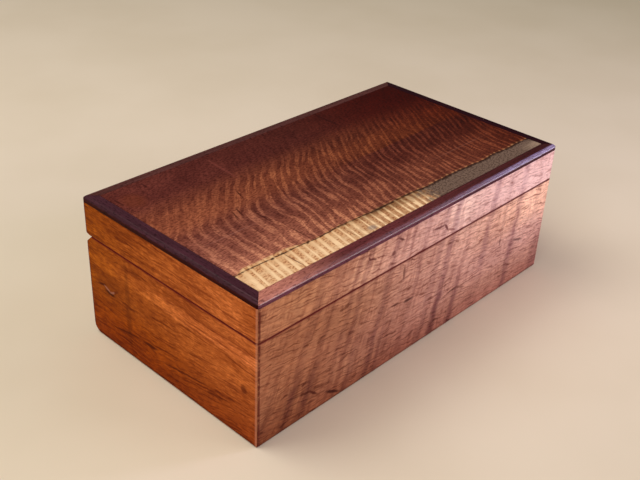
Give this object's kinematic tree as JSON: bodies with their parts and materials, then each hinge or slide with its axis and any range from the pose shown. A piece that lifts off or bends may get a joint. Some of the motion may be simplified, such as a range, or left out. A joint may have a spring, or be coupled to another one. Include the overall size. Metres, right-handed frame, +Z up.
{
  "type": "wooden keepsake box",
  "caption": "Rectangular mitred wooden box with a hinged lid whose figured panel sits in a dark chamfered edging.",
  "frame": {"origin": "on the table under the middle of the closed box", "axes": "+X along the length, to the right seen from the front; +Y to the back, where the hinges are; +Z up"},
  "size_m": [0.3, 0.164, 0.105],
  "materials": {
    "wall_wood": "satin oiled",
    "panel_wood": "satin lacquered",
    "trim_wood": "satin lacquered",
    "base_wood": "sanded",
    "lining_felt": "matt",
    "hinge_brass": "satin"
  },
  "bodies": {
    "body": {"front_wall": "wall_wood", "back_wall": "wall_wood", "left_wall": "wall_wood", "right_wall": "wall_wood", "base_panel": "base_wood", "base_lining": "lining_felt", "hinge_left_body_leaf": "hinge_brass", "hinge_left_pin": "hinge_brass", "hinge_left_body_screw_1": "hinge_brass", "hinge_left_body_screw_2": "hinge_brass", "hinge_right_body_leaf": "hinge_brass", "hinge_right_pin": "hinge_brass", "hinge_right_body_screw_1": "hinge_brass", "hinge_right_body_screw_2": "hinge_brass"},
    "lid": {"lid_front_rail": "wall_wood", "lid_back_rail": "wall_wood", "lid_left_rail": "wall_wood", "lid_right_rail": "wall_wood", "lid_panel": "panel_wood", "trim_front": "trim_wood", "trim_back": "trim_wood", "trim_left": "trim_wood", "trim_right": "trim_wood", "hinge_left_lid_leaf": "hinge_brass", "hinge_left_lid_screw_1": "hinge_brass", "hinge_left_lid_screw_2": "hinge_brass", "hinge_right_lid_leaf": "hinge_brass", "hinge_right_lid_screw_1": "hinge_brass", "hinge_right_lid_screw_2": "hinge_brass"}
  },
  "joints": [
    {"name": "lid_hinge", "type": "hinge", "parent": "body", "child": "lid", "pos_m": [0, 0.0784, 0.0756], "axis": [-1, 0, 0], "range_deg": [0, 100]}
  ]
}
